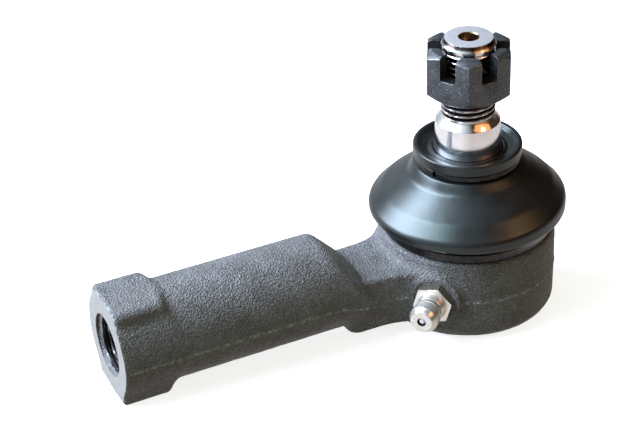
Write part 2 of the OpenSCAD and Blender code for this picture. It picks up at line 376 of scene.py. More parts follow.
def forging_mesh(low, high, step):
    """Points and quads of the forging's surface, by surface nets and then a few Newton steps."""
    axes = [np.arange(a, b + step, step) for a, b in zip(low, high)]
    grid = np.meshgrid(*axes, indexing="ij")
    inside = forging_field(*grid).astype(np.float32) < 0
    cells = tuple(np.array(inside.shape) - 1)
    corners = [inside[dx:dx + cells[0], dy:dy + cells[1], dz:dz + cells[2]]
               for dx in (0, 1) for dy in (0, 1) for dz in (0, 1)]
    active = np.any(corners, axis=0) & ~np.all(corners, axis=0)
    index = np.full(cells, -1, np.int64)
    index[active] = np.arange(active.sum())
    i, j, k = np.nonzero(active)
    points = np.stack([axes[0][i], axes[1][j], axes[2][k]], 1) + step / 2
    quads = []
    for axis in range(3):
        a = [slice(1, -1)] * 3
        a[axis] = slice(0, -1)
        b = list(a)
        b[axis] = slice(1, None)
        crossing = inside[tuple(a)] != inside[tuple(b)]
        leaving = inside[tuple(a)][crossing]
        at = np.stack(np.nonzero(crossing), 1)
        at += np.arange(3) != axis
        one, two = [n for n in range(3) if n != axis]
        ring = []
        for da, db in ((0, 0), (1, 0), (1, 1), (0, 1)):
            cell = at.copy()
            cell[:, one] -= da
            cell[:, two] -= db
            ring.append(index[tuple(cell.T)])
        quad = np.stack(ring, 1)
        flip = leaving if axis != 1 else ~leaving
        quad[flip] = quad[flip][:, ::-1]
        quads.append(quad)
    return settle(points, step), np.vstack(quads)


def differences(points, small):
    """How much the forging's field changes across each point, by axis, over twice small."""
    return np.stack([
        forging_field(*(points + offset).T) - forging_field(*(points - offset).T)
        for offset in np.eye(3) * small
    ], 1)


def settle(points, step):
    """Moves points onto the forging's surface, along the field's gradient."""
    small = 0.02
    for _ in range(5):
        distance = forging_field(*points.T)
        gradient = differences(points, small) / (2 * small)
        length = np.maximum((gradient ** 2).sum(1), 0.05)
        move = gradient * (distance / length)[:, None]
        points = points - np.clip(move, -step / 2, step / 2)
    return points


def forging_skin(points):
    """Shallow hollows and lumps of a shot-blasted forging, along each point's normal."""
    gradient = differences(points, 0.05)
    normal = gradient / np.maximum(np.linalg.norm(gradient, axis=1, keepdims=True), 1e-9)
    broad = np.array([noise.noise(Vector(p) / 5.5) for p in points])
    fine = np.array([noise.noise(Vector(p) / 1.5 + Vector((31, 7, 5))) for p in points])
    rough = 0.05 * broad + 0.035 * fine - 0.02
    quiet = np.where(points[:, 2] > CAN_TOP - 0.4, 0.15, 1.0)
    return points + normal * (rough * quiet)[:, None]


# ---- the pieces' shapes

THREAD_CREST = 0.14  # the crest's share of a pitch
THREAD_FLANK = 0.66  # and its two flanks' share


def thread_cut(z, angles, pitch):
    """0 on a right-hand thread's crest and 1 in its root."""
    phase = (z / pitch - angles / (2 * pi)) % 1.0
    away = np.abs(phase - 0.5) * 2
    return np.clip((away - THREAD_CREST) / THREAD_FLANK, 0, 1)


BORE_PITCH = 1.5
BORE_DEPTH = 0.81  # height of the shank's thread
BORE_MOUTH = 6.95
BORE_CHAMFER = 0.8
BORE_LEN = 40.0
DRILL_R = 6.0


def shank_bore():
    """The solid that the threaded hole takes out of the shank, with its chamfered mouth."""
    def radius_at(r, z, angles):
        if z < 0 or z > BORE_LEN - 0.01:
            return r
        thread = THREAD_MINOR + BORE_DEPTH * thread_cut(z, angles, BORE_PITCH)
        mouth = BORE_MOUTH - z * (BORE_MOUTH - THREAD_MINOR) / BORE_CHAMFER
        return np.maximum(thread, mouth)

    rows = np.arange(0, BORE_LEN, BORE_PITCH / 8)
    outline = [(0, -1), (BORE_MOUTH, -1)] + [(THREAD_MINOR, z) for z in rows]
    outline += [(DRILL_R, BORE_LEN), (0, BORE_LEN + 3.6)]
    return lathe("bore_cutter", outline, steps=96, radius_at=radius_at, move=along_shank())


CAVITY_R = UPPER_SEAT_HIGH[0] - STUD_X + 0.05
ROOF_Z = UPPER_SEAT_HIGH[2] + 0.02
COVER_R = COVER_HIGH[0] - STUD_X + 0.02
COVER_LIP_R = 14.2
THROAT_R = 9.9
THROAT_TOP_R = 13.0


def can_cavity():
    """The solid that the socket's inside takes out of the can."""
    lip = COVER_LOW[2] - 0.01
    outline = rounded([
        (0, CAN_BOTTOM - 1, 0), (COVER_LIP_R + 1.6, CAN_BOTTOM - 1, 0),
        (COVER_LIP_R, CAN_BOTTOM + 0.55, 0.8), (COVER_LIP_R, lip, 0.1), (COVER_R, lip, 0),
        (COVER_R, COVER_HIGH[2] + 0.01, 0), (CAVITY_R, COVER_HIGH[2] + 0.01, 0),
        (CAVITY_R, ROOF_Z, 0.2), (THROAT_R, ROOF_Z, 0.3), (THROAT_TOP_R, SPIGOT_TOP, 0.4),
        (THROAT_TOP_R + 1, SPIGOT_TOP + 1, 0), (0, SPIGOT_TOP + 1, 0)
    ])
    return lathe("cavity_cutter", outline)


FIELD_STEP = 0.36  # grid of the forging's distance field
FIELD_MARGIN = 2.0
SPOT_R = 5.0
FITTING_HOLE_R = 2.82
FITTING_HOLE_START = 12.0  # inside the can, off the stud's axis
CUTTER_HALF = 30  # half-width and depth of the block that faces the wrench end


def housing_piece():
    """The forging: raw skin with a ridge at its parting line, then its machined faces."""
    points, quads = forging_mesh(HOUSING_LOW - FIELD_MARGIN, HOUSING_HIGH + FIELD_MARGIN,
                                 FIELD_STEP)
    points = forging_skin(points)
    points = np.minimum(points, HOUSING_HIGH)
    points[:, 1:] = np.maximum(points[:, 1:], HOUSING_LOW[1:])
    forging = make_object("housing_forging", points, quads)
    end_face = prism("end_cutter", polygon(4, CUTTER_HALF * 2 ** 0.5, pi / 4), -CUTTER_HALF, 0,
                     along_shank())
    spot = prism("spot_cutter", polygon(48, SPOT_R), BOSS_FACE, BOSS_FACE + 6, along_fitting())
    hole = prism("hole_cutter", polygon(48, FITTING_HOLE_R), FITTING_HOLE_START, BOSS_FACE + 3,
                 along_fitting())
    combine(forging, [end_face, shank_bore(), can_cavity(), spot, hole])
    mark_forging(forging)
    return forging


def mark_forging(forging):
    """Material per face, and each point's wear: how near it is to the parting line or an edge."""
    x, y, z = points_mm(forging).T
    rho = np.hypot(y, z)
    can_rho = np.hypot(x - STUD_X, y)
    ridge = np.exp(-((z - parting_height(x)) / 0.3) ** 2) * ((rho > DRILL_R + 3) | (x > BORE_LEN))
    face_edge = 0.7 * np.clip(1 - x / 0.5, 0, 1) * (rho > 8.5)
    rim = np.exp(-((can_rho - COVER_LIP_R - 0.5) / 0.5) ** 2) * (z < CAN_BOTTOM + 0.6)
    wear_and_glint = np.clip(0.85 * ridge + face_edge + 0.5 * rim, 0, 1)
    store(forging, "wear_and_glint", wear_and_glint)
    mark_roots(forging, -rho, -THREAD_MINOR, BORE_DEPTH)

    x, y, z = face_centres(forging).T
    rho, can_rho = np.hypot(y, z), np.hypot(x - STUD_X, y)
    machined = x < 0.02
    bored = (rho < BORE_MOUTH + 0.02) & (x < BORE_LEN + 6) & (x > BORE_CHAMFER * 0.9)
    turned = (can_rho < COVER_R + 0.05) & (z > CAN_BOTTOM + 0.3)
    turned |= (can_rho < SPIGOT_R + 0.1) & (z > SPIGOT_TOP - 0.02)
    index = (machined | turned).astype(int)
    index[bored] = 2
    paint(forging, forged_steel(), machined_steel(), bore_steel())
    forging.data.polygons.foreach_set("material_index", index)
    shade(forging, 32)


STUD_NECK_Z = (8, 14)  # the straight part between the ball and the taper's foot
TAPER_FOOT_Z = 17.2
STUD_THREAD_R = 5.94
STUD_PITCH = 1.25
STUD_THREAD_DEPTH = 0.75
SHOULDER_Z = 30.8
THREAD_START = 32.1
TAPER_LOW_Z = 22.6
TAPER_SMALL_R = 7.1
TAPER_LARGE_R = 7.7
STUD_NECK_R = 5.2
CENTRE_HOLE_R = 2.1
CENTRE_HOLE_DEPTH = 2.6  # to the start of its drill point
STUD_FLAT_R = 5.2
STUD_CHAMFER = 1.2
COTTER_R = 1.6


def stud_outline():
    """Ball, neck, taper, thread and chamfered end, down to the bottom of the centre hole."""
    top, flat_z = STUD_HIGH[2], STUD_LOW[2]
    start = np.arcsin((flat_z - BALL_Z) / BALL_R)
    stop = np.arccos(STUD_NECK_R / BALL_R)
    ball = [(BALL_R * cos(a), BALL_Z + BALL_R * sin(a)) for a in np.linspace(start, stop, 40)]
    neck = rounded([
        (STUD_NECK_R - 1, STUD_NECK_Z[0], 0), (STUD_NECK_R, STUD_NECK_Z[0], 0),
        (STUD_NECK_R, STUD_NECK_Z[1], 2.5), (TAPER_LARGE_R, TAPER_FOOT_Z, 1.2),
        (TAPER_LARGE_R, TAPER_LOW_Z, 0), (TAPER_SMALL_R, SHOULDER_Z, 0.22),
        (STUD_THREAD_R, THREAD_START, 0), (STUD_NECK_R - 1, THREAD_START, 0)
    ])[1:-1]
    thread = [(STUD_THREAD_R, z) for z in np.arange(THREAD_START + 0.1, top, 0.1)]
    end = rounded([
        (0, top, 0), (STUD_FLAT_R, top, 0.2), (STUD_THREAD_R, top - STUD_CHAMFER, 0),
        (STUD_THREAD_R, THREAD_START, 0)
    ])[1:-2][::-1]
    hole = [(CENTRE_HOLE_R + 0.22, top), (CENTRE_HOLE_R, top - 0.2),
            (CENTRE_HOLE_R, top - CENTRE_HOLE_DEPTH), (0, top - CENTRE_HOLE_DEPTH - 1.1)]
    return np.vstack([[(0, flat_z)], ball, neck, thread, end, hole])


def stud_thread(r, z, angles):
    """The thread's radii, with its run-out and chamfer; the rest of the stud stays round."""
    if abs(r - STUD_THREAD_R) > 1e-6 or z < THREAD_START + 0.05:
        return r
    top = STUD_HIGH[2]
    fade = smooth_step(THREAD_START, THREAD_START + 0.9, z)
    fade *= 1 - smooth_step(top - 3.2, top - 1.7, z)
    thread = STUD_THREAD_R - STUD_THREAD_DEPTH * fade * thread_cut(z, angles, STUD_PITCH)
    drop = (STUD_THREAD_R - STUD_FLAT_R) / STUD_CHAMFER
    return np.minimum(thread, STUD_THREAD_R - max(z - top + STUD_CHAMFER, 0) * drop)


def stud_piece():
    """The ball stud with its helical thread, drilled across for a cotter pin."""
    stud = lathe("stud", stud_outline(), radius_at=stud_thread, angle=28)
    hole_z = MOUNTS["cotter_hole"]["pos_m"][2] / MM
    across = Matrix.Translation((STUD_X, 0, hole_z)) @ Matrix.Rotation(pi / 2, 4, "X")
    combine(stud, [prism("cotter_cutter", polygon(40, COTTER_R), -9, 9, across)])
    shade(stud, 28)
    paint_stud(stud)
    return stud


def paint_stud(stud):
    """Polished ball and taper, thread with dark roots, faced end and browned centre hole."""
    paint(stud, polished_steel(), threaded_steel(), faced_steel(), drilled_steel())
    x, y, z = points_mm(stud).T
    mark_roots(stud, np.hypot(x - STUD_X, y), STUD_THREAD_R, STUD_THREAD_DEPTH)
    x, y, z = face_centres(stud).T
    top = STUD_HIGH[2]
    index = (z > THREAD_START).astype(int)
    index[z > top - 0.05] = 2
    index[(z > top - 4) & (z < top - 0.05) & (np.hypot(x - STUD_X, y) < CENTRE_HOLE_R + 0.2)] = 3
    stud.data.polygons.foreach_set("material_index", index)


def mark_roots(obj, radii, crest, depth):
    """Gives each point its depth below a thread's crest, from 0 to 1, which the materials use to
    paint shade in the roots.
    """
    below = (crest - radii) / depth
    store(obj, "root", np.where(below < 1.2, np.clip(below, 0, 1), 0))


def store(obj, name, values):
    """Stores a value for each point, which a material reads by name."""
    attribute = obj.data.attributes.new(name, "FLOAT", "POINT")
    attribute.data.foreach_set("value", values.astype(np.float32))


def points_mm(obj):
    """An object's points, one row of x, y and z each, in millimetres."""
    points = np.empty(len(obj.data.vertices) * 3)
    obj.data.vertices.foreach_get("co", points)
    return points.reshape(-1, 3) / MM


def face_centres(obj):
    """Centres of an object's faces, in millimetres."""
    centres = np.empty(len(obj.data.polygons) * 3)
    obj.data.polygons.foreach_get("center", centres)
    return centres.reshape(-1, 3) / MM


def paint(obj, *materials):
    """Gives an object its materials; a face takes the first one until it is given another."""
    obj.data.materials.clear()
    for material in materials:
        obj.data.materials.append(material)


NUT_HEIGHT = NUT_HIGH[2] - NUT_LOW[2]
NUT_BORE_R = 6.0
NUT_MOUTH_R = 6.75
NUT_FACE_R = 8.3
NUT_CHAMFER = 1.35
NUT_SEAT_R = 7.7  # radius of its lower face
NUT_SEAT_CHAMFER = 2.2
SLOT_W = 3.7
SLOT_TURNS = (30, 90, 150)
SLOT_DEPTH = 5.4
SLOT_CORNER_R = 0.6
NUT_EDGE = 0.14  # worn edges


def nut_piece(dark):
    """Slotted hexagon nut with coned corners, small worn edges and painted shade in its slots and
    bore.
    """
    corner = (NUT_HIGH[1] - NUT_LOW[1]) / 2 / cos(pi / 6)
    move = Matrix.Translation((STUD_X, 0, NUT_LOW[2]))
    nut = prism("castle_nut_body", polygon(6, corner), 0, NUT_HEIGHT, move)
    cone = lathe("cone", [
        (0, 0), (NUT_SEAT_R, 0), (corner + 0.3, NUT_SEAT_CHAMFER),
        (corner + 0.3, NUT_HEIGHT - NUT_CHAMFER), (NUT_FACE_R, NUT_HEIGHT), (0, NUT_HEIGHT)
    ], steps=96, move=move)
    combine(nut, [cone], "INTERSECT")
    bore = lathe("bore", [
        (0, -1), (NUT_MOUTH_R + 0.6, -1), (NUT_MOUTH_R, 0), (NUT_BORE_R, 0.7),
        (NUT_BORE_R, NUT_HEIGHT - 0.6), (NUT_BORE_R + 0.6, NUT_HEIGHT),
        (NUT_BORE_R + 1.2, NUT_HEIGHT + 1), (0, NUT_HEIGHT + 1)
    ], steps=72, move=move)
    slots = []
    for turn in SLOT_TURNS:
        place = move @ Matrix.Rotation(radians(turn), 4, "Z") @ Matrix.Rotation(pi / 2, 4, "Y")
        slots.append(prism("slot", slot_outline(), -2 * corner, 2 * corner, place))
    combine(nut, [bore] + slots)
    paint(nut, phosphated_steel(), worn_edge_steel(), dark)
    wear_edges(nut)
    index = np.empty(len(nut.data.polygons), np.int32)
    nut.data.polygons.foreach_get("material_index", index)
    # the slots and bore take painted shade
    index[in_slot(*face_centres(nut).T)] = 2
    nut.data.polygons.foreach_set("material_index", index)
    shade(nut, 50)
    return nut


def wear_edges(nut):
    """Small bevels on the nut's edges, in its second material."""
    bevel = nut.modifiers.new("bevel", "BEVEL")
    bevel.width = NUT_EDGE * MM
    bevel.segments = 2
    bevel.limit_method = "ANGLE"
    bevel.angle_limit = radians(24)
    bevel.material = 1
    apply_modifiers(nut)


def in_slot(x, y, z):
    """Whether points lie on the nut's slots or in its bore."""
    out, up = x - STUD_X, z - NUT_LOW[2]
    hit = np.hypot(out, y) < NUT_BORE_R + 0.5
    for turn in SLOT_TURNS:
        across = np.abs(y * cos(radians(turn)) - out * sin(radians(turn)))
        hit |= (across < SLOT_W / 2 + 0.02) & (up > NUT_HEIGHT - SLOT_DEPTH - 0.02)
    return hit & (up > 0.1) & (up < NUT_HEIGHT - 0.2)


def slot_outline():
    """Slot's section with rounded floor corners, drawn with the nut's up direction on -X."""
    half, floor, r = SLOT_W / 2, NUT_HEIGHT - SLOT_DEPTH, SLOT_CORNER_R
    corner = [(floor + r - r * cos(a), half - r + r * sin(a)) for a in np.linspace(0, pi / 2, 5)]
    side = [(-h, w) for h, w in corner] + [(-NUT_HEIGHT - 1, half)]
    return side + [(a, -b) for a, b in side[::-1]]


BEAD_R = 18.7
BEAD_TOP = 7.95
BULGE_Z = (9.35, 12.2)  # the stretch where it is widest
CONE_FOOT = (18.9, 15.4)
CONE_TOP = (13.6, 19.2)
INSIDE_R = 19.6  # of the hollow behind the bulge
LIP_R = 12.0
SAG_ANGLE = radians(150)  # side on which the boot's cone has sunk
SAG_ALL = 0.55  # how far it has sunk all round
SAG_SIDE = 0.8  # and how much more on that side
GROOVE_R = NECK_RING_HIGH[0] - STUD_X - 1.25


def boot_piece():
    """Rubber boot: bead on the can, bulge, cone, ring groove and dished lip, sunk at one side."""
    boot_r = BOOT_HIGH[0] - STUD_X
    top = BOOT_HIGH[2]
    groove_low, groove_high = NECK_RING_LOW[2] - 0.05, NECK_RING_HIGH[2] + 0.05
    lip_in = TAPER_LARGE_R + 0.06
    outline = rounded([
        (SPIGOT_R + 0.03, BOOT_LOW[2], 0.1), (BEAD_R, BOOT_LOW[2], 0.35),
        (BEAD_R, BEAD_TOP, 0.35), (BEAD_R - 0.5, BEAD_TOP + 0.4, 0.2), (boot_r - 1.7, 8.75, 0.5),
        (boot_r, BULGE_Z[0], 1.1), (boot_r, BULGE_Z[1], 2.2), (*CONE_FOOT, 6), (*CONE_TOP, 5),
        (GROOVE_R + 1.5, 20.75, 0.5), (GROOVE_R, groove_low, 0.15), (GROOVE_R, groove_high, 0.15),
        (LIP_R, groove_high + 0.1, 0.3), (LIP_R, top, 0.35), (LIP_R - 1.0, top, 0.4),
        (LIP_R - 1.7, top - 1.0, 0.5), (lip_in + 1.0, top - 1.35, 0.3),
        (lip_in + 0.45, top - 1.0, 0.2), (lip_in, top - 1.1, 0.15),
        (lip_in, 19.2, 0.3), (9.2, 18.4, 0.8), (12.8, 16.9, 2), (17.0, 14.2, 2),
        (INSIDE_R, 12, 1.2), (INSIDE_R, 10.2, 1.0), (17.6, 8.75, 0.4),
        (SPIGOT_R + 0.03, 8.3, 0.2)
    ], steps=8)
    boot = lathe("boot", refine(outline, 0.45), steps=160, angle=50)
    for vertex in boot.data.vertices:
        x, y, z = vertex.co / MM
        turned = cos(atan2(y, x - STUD_X) - SAG_ANGLE)
        free = smooth_step(8.8, 12.5, z) * (1 - smooth_step(19.3, 21.0, z))
        free *= smooth_step(9.5, 12.5, hypot(x - STUD_X, y))
        vertex.co.z -= (SAG_ALL + SAG_SIDE * turned) * free * MM
    return boot


def refine(outline, longest):
    """Adds points so that no stretch of a closed outline is longer than longest."""
    out = []
    for here, after in zip(outline, np.roll(outline, -1, axis=0)):
        parts = max(1, int(np.ceil(np.linalg.norm(after - here) / longest)))
        out.extend(here + (after - here) * k / parts for k in range(parts))
    return np.array(out)


NECK_RING_GAP = 0.9
NECK_RING_GAP_ANGLE = radians(-158)
NECK_RING_WALL = 1.2
BASE_RING_WALL = 0.53


def neck_ring_piece():
    """Split steel band under the boot's lip."""
    out_r = NECK_RING_HIGH[0] - STUD_X
    in_r = out_r - NECK_RING_WALL
    low, high = NECK_RING_LOW[2], NECK_RING_HIGH[2]
    section = rounded([(in_r, low, 0.1), (out_r, low, 0.3), (out_r, high, 0.3), (in_r, high, 0.1)])
    half_gap = NECK_RING_GAP / 2 / out_r
    turns = NECK_RING_GAP_ANGLE + np.linspace(half_gap, 2 * pi - half_gap, 140)
    points = [(STUD_X + r * cos(a), r * sin(a), z) for a in turns for r, z in section]
    return swept("neck_ring", points, len(section))


GLINT_ANGLE = radians(-38)  # where a highlight is painted on the base ring's upper edge
GLINT_WIDTH = radians(30)


def base_ring_piece():
    """Steel band round the boot's bead, with a painted highlight on its upper edge at one side."""
    out_r = BASE_RING_HIGH[0] - STUD_X
    in_r = out_r - BASE_RING_WALL
    low, high = BASE_RING_LOW[2], BASE_RING_HIGH[2]
    ring = lathe("base_ring", rounded([
        (in_r, low, 0.1), (out_r, low, 0.2), (out_r, high, 0.2), (in_r, high, 0.1)
    ]), steps=160)
    x, y, z = points_mm(ring).T
    turned = (np.arctan2(y, x - STUD_X) - GLINT_ANGLE + pi) % (2 * pi) - pi
    # painted highlight along the upper edge at one side
    store(ring, "wear_and_glint", np.exp(-(turned / GLINT_WIDTH) ** 2) * (z > high - 0.3))
    return ring


DISH_R = 8.2
DISH_DEPTH = 0.45


def cover_piece():
    """Pressed end cover with a shallow dish, under the can's swaged lip."""
    low, high, edge = COVER_LOW[2], COVER_HIGH[2], COVER_HIGH[0] - STUD_X
    return lathe("cover", rounded([
        (0, low + DISH_DEPTH, 0), (DISH_R, low + DISH_DEPTH, 1.5), (DISH_R + 1.2, low, 0.8),
        (edge, low, 0.1),
        (edge, high, 0.2), (0, high, 0)
    ]))


def seat_piece(name, low, high, hole_r):
    """Bearing ring with a ball-shaped inside, which is nowhere narrower than hole_r."""
    out_r, ball_r = UPPER_SEAT_HIGH[0] - STUD_X, BALL_R + 0.05
    inner = [(max(np.sqrt(ball_r ** 2 - (z - BALL_Z) ** 2), hole_r), z)
             for z in np.linspace(low, high, 16) if abs(z - BALL_Z) < ball_r]
    return lathe(name, inner + [(out_r, high), (out_r, low)])


def preload_spring_piece():
    low, high = SPRING_LOW[2], SPRING_HIGH[2]
    return lathe("disc_spring", rounded([
        (6, high - 0.7, 0.1), (6, high, 0.1), (12.5, low + 0.7, 0.1), (12.5, low, 0.1)
    ]))


FITTING_TIP = 29.5
HEX_END = 22.8
HEAD_R = 3.2
FITTING_AF = 8.0
FITTING_TURN = radians(-16)  # how far the hexagon happens to be screwed round
TIP_HOLE_R = 0.98
TOOL_MARK = 0.025
TOOL_MARK_PITCH = 0.45


def fitting_hexagon():
    """The fitting's hexagon with its chamfered upper edge, cored out for the turned part."""
    corner = FITTING_AF / 2 / cos(pi / 6)
    hexagon = prism("hexagon", polygon(6, corner, FITTING_TURN), BOSS_FACE + 0.02, HEX_END,
                    along_fitting())
    cone = lathe("cone", [
        (0, BOSS_FACE - 1), (corner + 0.2, BOSS_FACE - 1), (corner + 0.2, HEX_END - 0.2),
        (corner - 0.5, HEX_END + 0.1), (0, HEX_END + 0.1)
    ], steps=96, move=along_fitting())
    combine(hexagon, [cone], "INTERSECT")
    core = prism("core", polygon(32, 1.6), BOSS_FACE - 1, HEX_END + 1, along_fitting())
    return combine(hexagon, [core])


def fitting_turned():
    """The fitting's shank, skirt, narrow waist and head with its hole, with tool marks outside."""
    def radius_at(r, z, angles):
        marked = r > 2.4 and HEX_END + 0.3 < z < FITTING_TIP - 0.6
        mark = TOOL_MARK * (cos(2 * pi * z / TOOL_MARK_PITCH) - 1)
        return r + mark * marked

    outline = refine(rounded([
        (1.3, 15.9, 0), (2.5, 15.9, 0.2), (2.78, 16.3, 0.1), (2.78, BOSS_FACE + 0.5, 0),
        (3.35, BOSS_FACE + 0.5, 0), (3.35, HEX_END + 0.2, 0.15), (3.05, HEX_END + 1.8, 0.15),
        (2.4, HEX_END + 2.05, 0.12), (2.95, HEX_END + 2.4, 0.15), (HEAD_R, HEX_END + 3.3, 0.5),
        (HEAD_R, FITTING_TIP - 1.2, 0.5), (2.45, FITTING_TIP, 0.45),
        (TIP_HOLE_R, FITTING_TIP, 0.06), (TIP_HOLE_R, FITTING_TIP - 0.6, 0),
        (1.3, FITTING_TIP - 0.75, 0)
    ], steps=6), 0.12)
    return lathe("turned", outline, steps=96, radius_at=radius_at, move=along_fitting(), angle=40)


def fitting_piece(plate, dark):
    """Grease fitting: plated, with dull hexagon flats, and painted shade in its tip hole and waist
    groove.
    """
    turned, fitting = fitting_turned(), fitting_hexagon()
    fitting.name = "grease_fitting_body"
    combine(fitting, [turned], "UNION")
    shade(fitting, 30)
    paint(fitting, plate, dark, dull_plate_and_shade())
    along, aside = about_fitting(fitting)
    # painted shade on the tip hole's wall
    index = ((aside < TIP_HOLE_R + 0.03) & (along > FITTING_TIP - 1)).astype(int)
    index[(aside > 3.5) & (along > BOSS_FACE + 0.1) & (along < HEX_END - 0.3)] = 2
    # painted shade in the waist groove
    index[(aside > 2.2) & (np.abs(along - HEX_END - 2.08) < 0.2)] = 2
    fitting.data.polygons.foreach_set("material_index", index)
    return fitting


def about_fitting(obj):
    """Each face's distance along the grease fitting's axis, and its distance from that axis."""
    out = face_centres(obj) - np.array((STUD_X, 0, FITTING_Z))
    along = out @ FITTING_AXIS
    return along, np.linalg.norm(out - np.outer(along, FITTING_AXIS), axis=1)


def check_spring_piece():
    """Coil of fine wire behind the check ball."""
    low, high, turns, coil_r, wire_r = 22.15, 27.05, 7, 0.72, 0.11
    steps, sides = turns * 20, 6
    points = []
    for t in np.linspace(0, 1, steps):
        a = t * turns * 2 * pi
        for b in np.arange(sides) * 2 * pi / sides:
            r = coil_r + wire_r * cos(b)
            points.append((r * cos(a), r * sin(a), low + (high - low) * t + wire_r * sin(b)))
    return swept("check_coil", moved(np.array(points), along_fitting()), sides)


CHECK_BALL_R = 1.15
UNSHADED_R = 0.74  # its unshaded middle, inside the ring of painted shade


def ball_piece(satin, dark):
    """The check ball, seated in the fitting's tip, with painted shade round its seat."""
    r = CHECK_BALL_R
    outline = [(r * cos(a), r * sin(a)) for a in np.linspace(-pi / 2, pi / 2, 41)]
    outline[0], outline[-1] = (0, -r), (0, r)
    ball = lathe("valve_ball_body", outline, steps=32,
                 move=along_fitting(FITTING_TIP - 1.3))
    paint(ball, satin, dark)
    aside = about_fitting(ball)[1]
    # the ball's outer ring takes painted shade
    ball.data.polygons.foreach_set("material_index", (aside > UNSHADED_R).astype(int))
    return ball


def washer_piece():
    return lathe("retaining_washer", rounded([
        (0.5, 0, 0.08), (1.27, 0, 0.08), (1.27, 0.5, 0.08), (0.5, 0.5, 0.08)
    ]), steps=48, move=along_fitting(21.5))


# ---- materials

def add_node(tree, kind, **values):
    """Adds a node; each value goes to its input of that name, or else to its own setting."""
    node = tree.nodes.new(kind)
    for key, value in values.items():
        if key in node.inputs:
            node.inputs[key].default_value = value
        else:
            setattr(node, key, value)
    return node


def mix_colours(tree, share, a, b):
    """Colour a where share is 0 and b where it is 1; each is a tuple or a node's output."""
    node = add_node(tree, "ShaderNodeMix", data_type="RGBA")
    tree.links.new(share, node.inputs[0])
    for socket, value in ((node.inputs[6], a), (node.inputs[7], b)):
        if isinstance(value, tuple):
            socket.default_value = (*value, 1)
        else:
            tree.links.new(value, socket)
    return node.outputs[2]


class Shader:
    """One node material, built from patterns sized in millimetres."""

    def __init__(self, name, metallic=0.0, specular=0.5):
        self.material = bpy.data.materials.new(name)
        self.material.use_nodes = True
        self.tree = self.material.node_tree
        self.tree.nodes.clear()
        self.bsdf = self.add("ShaderNodeBsdfPrincipled", Metallic=metallic)
        self.bsdf.inputs["Specular IOR Level"].default_value = specular
        output = self.add("ShaderNodeOutputMaterial")
        self.link(self.bsdf.outputs[0], output.inputs[0])
        self.place = self.add("ShaderNodeTexCoord").outputs["Object"]
        self.normal = None

    def add(self, kind, **values):
        return add_node(self.tree, kind, **values)

    def link(self, source, socket):
        self.tree.links.new(source, socket)

    def stretched(self, scale):
        """Place scaled across the stud's axis, for marks that run round it."""
        node = self.add("ShaderNodeMapping", Scale=(scale, scale, 1))
        self.link(self.place, node.inputs["Vector"])
        return node.outputs[0]

    def noise(self, size, detail=2.0, roughness=0.5, place=None):
        node = self.add(
            "ShaderNodeTexNoise", Scale=1 / (size * MM), Detail=detail, Roughness=roughness)
        self.link(place or self.place, node.inputs["Vector"])
        return node.outputs["Fac"]

    def cells(self, size):
        node = self.add(
            "ShaderNodeTexVoronoi", feature="SMOOTH_F1", Scale=1 / (size * MM), Smoothness=0.6)
        self.link(self.place, node.inputs["Vector"])
        return node.outputs["Distance"]

    def spread(self, value, low, high, end=0.7):
        """From low to high as the value goes from 0.3 to end."""
        return self.ramp(value, (0.3, low), (end, high))

    def ramp(self, value, *stops):
        """Colour ramp; each stop is (position, grey or colour)."""
        node = self.add("ShaderNodeValToRGB")
        while len(node.color_ramp.elements) < len(stops):
            node.color_ramp.elements.new(0.5)
        for element, (position, colour) in zip(node.color_ramp.elements, stops):
            element.position = position
            colour = (colour,) * 3 if isinstance(colour, (int, float)) else colour
            element.color = (*colour, 1)
        self.link(value, node.inputs[0])
        return node.outputs[0]

    def product(self, a, b):
        node = self.add("ShaderNodeMath", operation="MULTIPLY")
        self.link(a, node.inputs[0])
        self.link(b, node.inputs[1])
        return node.outputs[0]

    def mix(self, share, a, b):
        return mix_colours(self.tree, share, a, b)

    def attribute(self, name):
        node = self.add("ShaderNodeAttribute", attribute_name=name)
        return node.outputs["Fac"]

    def colour(self, value):
        self.link(value, self.bsdf.inputs["Base Color"])

    def roughness(self, value):
        self.link(value, self.bsdf.inputs["Roughness"])

    def bump(self, height, depth):
        """Adds relief; depth is the pattern's height in millimetres."""
        node = self.add("ShaderNodeBump", Distance=depth * MM, Strength=1.0)
        self.link(height, node.inputs["Height"])
        if self.normal is not None:
            self.link(self.normal, node.inputs["Normal"])
        self.normal = node.outputs[0]
        self.link(self.normal, self.bsdf.inputs["Normal"])


def forged_steel():
    """Shot-blasted forging with a dark coat: pebbles, painted glints as lighter specks, and chipped
    ridges.
    """
    s = Shader("forged_steel", metallic=0.1, specular=0.18)
    grain = s.noise(0.3, 3, 0.65)
    base = s.spread(s.noise(6, 4, 0.6), (0.155, 0.152, 0.142), (0.25, 0.25, 0.245))
    pits = s.ramp(s.noise(0.42, 3, 0.6), (0.38, 0.5), (0.54, 0.0))
    base = s.mix(pits, base, (0.05, 0.046, 0.04))
    # painted glints: lighter specks in the colour stand in for light caught by the pebbles
    painted_glints = s.ramp(s.noise(0.5, 3, 0.7), (0.58, 0.0), (0.67, 0.6))
    base = s.mix(painted_glints, base, (0.5, 0.51, 0.52))
    chips = s.ramp(s.noise(1.1, 5, 0.85), (0.5, 0.0), (0.57, 1.0))
    s.colour(s.mix(s.product(s.attribute("wear_and_glint"), chips), base, (0.78, 0.81, 0.85)))
    s.roughness(s.spread(grain, 0.38, 0.6))
    s.bump(s.cells(0.4), 0.3)
    s.bump(grain, 0.2)
    s.bump(s.noise(2.2, 2, 0.5), 0.14)
    return s.material


def bore_steel():
    """Tapped thread: cut steel, with painted shade in its roots."""
    s = Shader("bore_steel", metallic=1.0)
    film = s.noise(2.5, 2)
    bright = s.ramp(film, (0.35, (0.24, 0.235, 0.235)), (0.65, (0.42, 0.41, 0.41)))
    # painted shade, darker towards the thread's roots
    s.colour(s.mix(s.attribute("root"), bright, (0.06, 0.055, 0.05)))
    s.roughness(s.spread(film, 0.2, 0.27))
    return s.material


